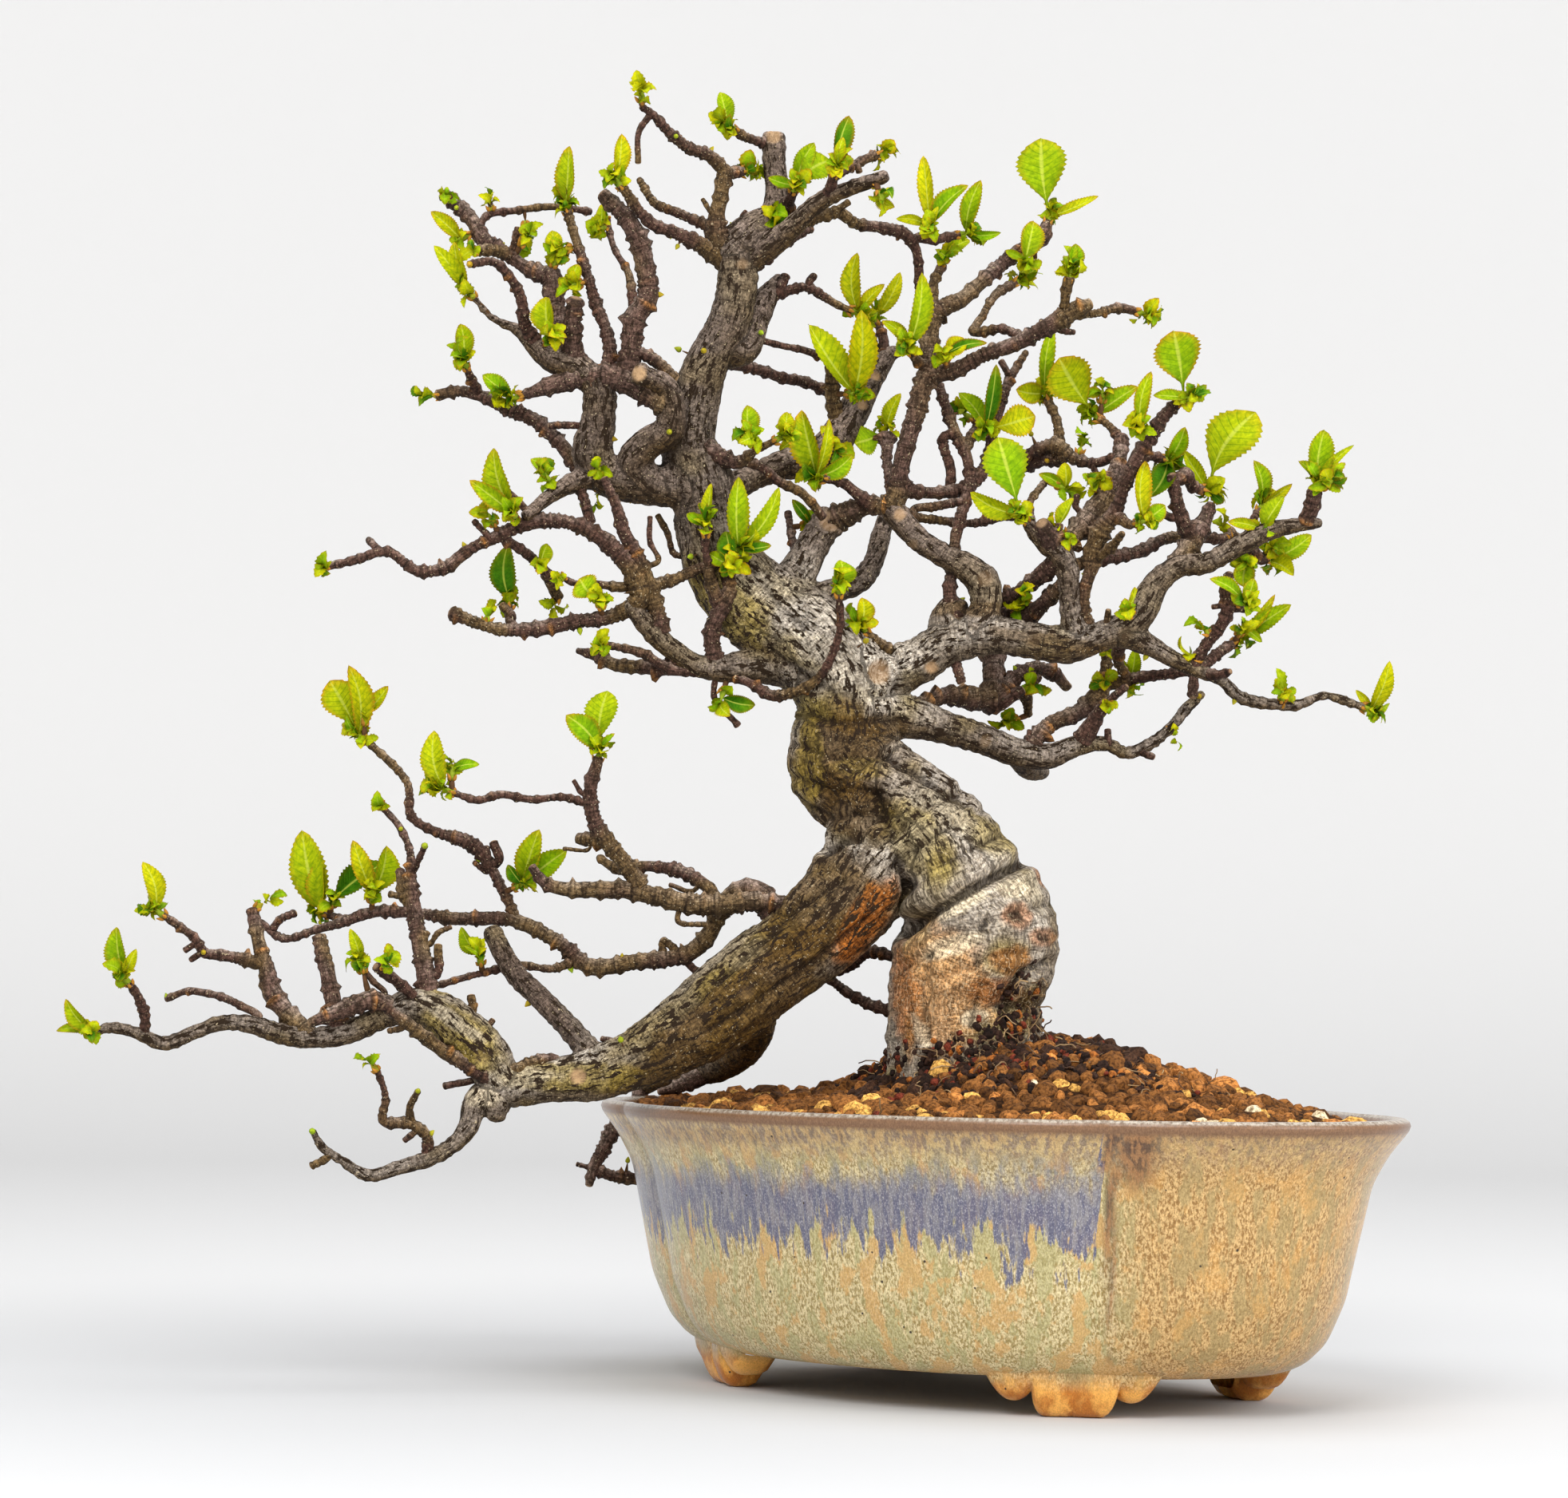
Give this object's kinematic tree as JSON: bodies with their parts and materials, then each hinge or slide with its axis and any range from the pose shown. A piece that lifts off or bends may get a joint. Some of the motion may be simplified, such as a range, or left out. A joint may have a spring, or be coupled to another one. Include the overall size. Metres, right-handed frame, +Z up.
{
  "type": "potted bonsai",
  "caption": "Chinese quince bonsai with bare muscled trunk, gnarled twiggy branches and a few young leaves, planted in a lobed glazed pot on cloud feet.",
  "frame": {"origin": "middle of the outline of the whole tree and pot as seen from above, on the surface that the pot's feet stand on; the pot's own middle is 59.6 mm along +X from it", "axes": "+Z up; the picture looks along +Y, so -Y is the front and the long left limb points along -X"},
  "size_m": [0.3207, 0.1862, 0.323],
  "materials": {
    "bark": "rough",
    "young_leaf": "satin",
    "pot_glaze": "gloss",
    "soil_grains": "matt"
  },
  "bodies": {
    "root": {"pot": "pot_glaze", "soil": "soil_grains", "wood": "bark", "leaf_tuft_00": "young_leaf", "leaf_tuft_01": "young_leaf", "leaf_tuft_02": "young_leaf", "leaf_tuft_03": "young_leaf", "leaf_tuft_04": "young_leaf", "leaf_tuft_05": "young_leaf", "leaf_tuft_06": "young_leaf", "leaf_tuft_07": "young_leaf", "leaf_tuft_08": "young_leaf", "leaf_tuft_09": "young_leaf", "leaf_tuft_10": "young_leaf", "leaf_tuft_11": "young_leaf", "leaf_tuft_12": "young_leaf", "leaf_tuft_13": "young_leaf", "leaf_tuft_14": "young_leaf", "leaf_tuft_15": "young_leaf", "leaf_tuft_16": "young_leaf", "leaf_tuft_17": "young_leaf", "leaf_tuft_18": "young_leaf", "leaf_tuft_19": "young_leaf", "leaf_tuft_20": "young_leaf", "leaf_tuft_21": "young_leaf", "leaf_tuft_22": "young_leaf", "leaf_tuft_23": "young_leaf", "leaf_tuft_24": "young_leaf", "leaf_tuft_25": "young_leaf", "leaf_tuft_26": "young_leaf", "leaf_tuft_27": "young_leaf", "leaf_tuft_28": "young_leaf", "leaf_tuft_29": "young_leaf", "leaf_tuft_30": "young_leaf", "leaf_tuft_31": "young_leaf", "leaf_tuft_32": "young_leaf", "leaf_tuft_33": "young_leaf", "leaf_tuft_34": "young_leaf", "leaf_tuft_35": "young_leaf", "leaf_tuft_36": "young_leaf", "leaf_tuft_37": "young_leaf", "leaf_tuft_38": "young_leaf", "leaf_tuft_39": "young_leaf", "leaf_tuft_40": "young_leaf", "leaf_tuft_41": "young_leaf", "leaf_tuft_42": "young_leaf", "leaf_tuft_43": "young_leaf", "leaf_tuft_44": "young_leaf", "leaf_tuft_45": "young_leaf", "leaf_tuft_46": "young_leaf", "leaf_tuft_47": "young_leaf", "leaf_tuft_48": "young_leaf", "leaf_tuft_49": "young_leaf", "leaf_tuft_50": "young_leaf", "leaf_tuft_51": "young_leaf", "leaf_tuft_52": "young_leaf", "leaf_tuft_53": "young_leaf", "leaf_tuft_54": "young_leaf", "leaf_tuft_55": "young_leaf", "leaf_tuft_56": "young_leaf"}
  },
  "joints": []
}
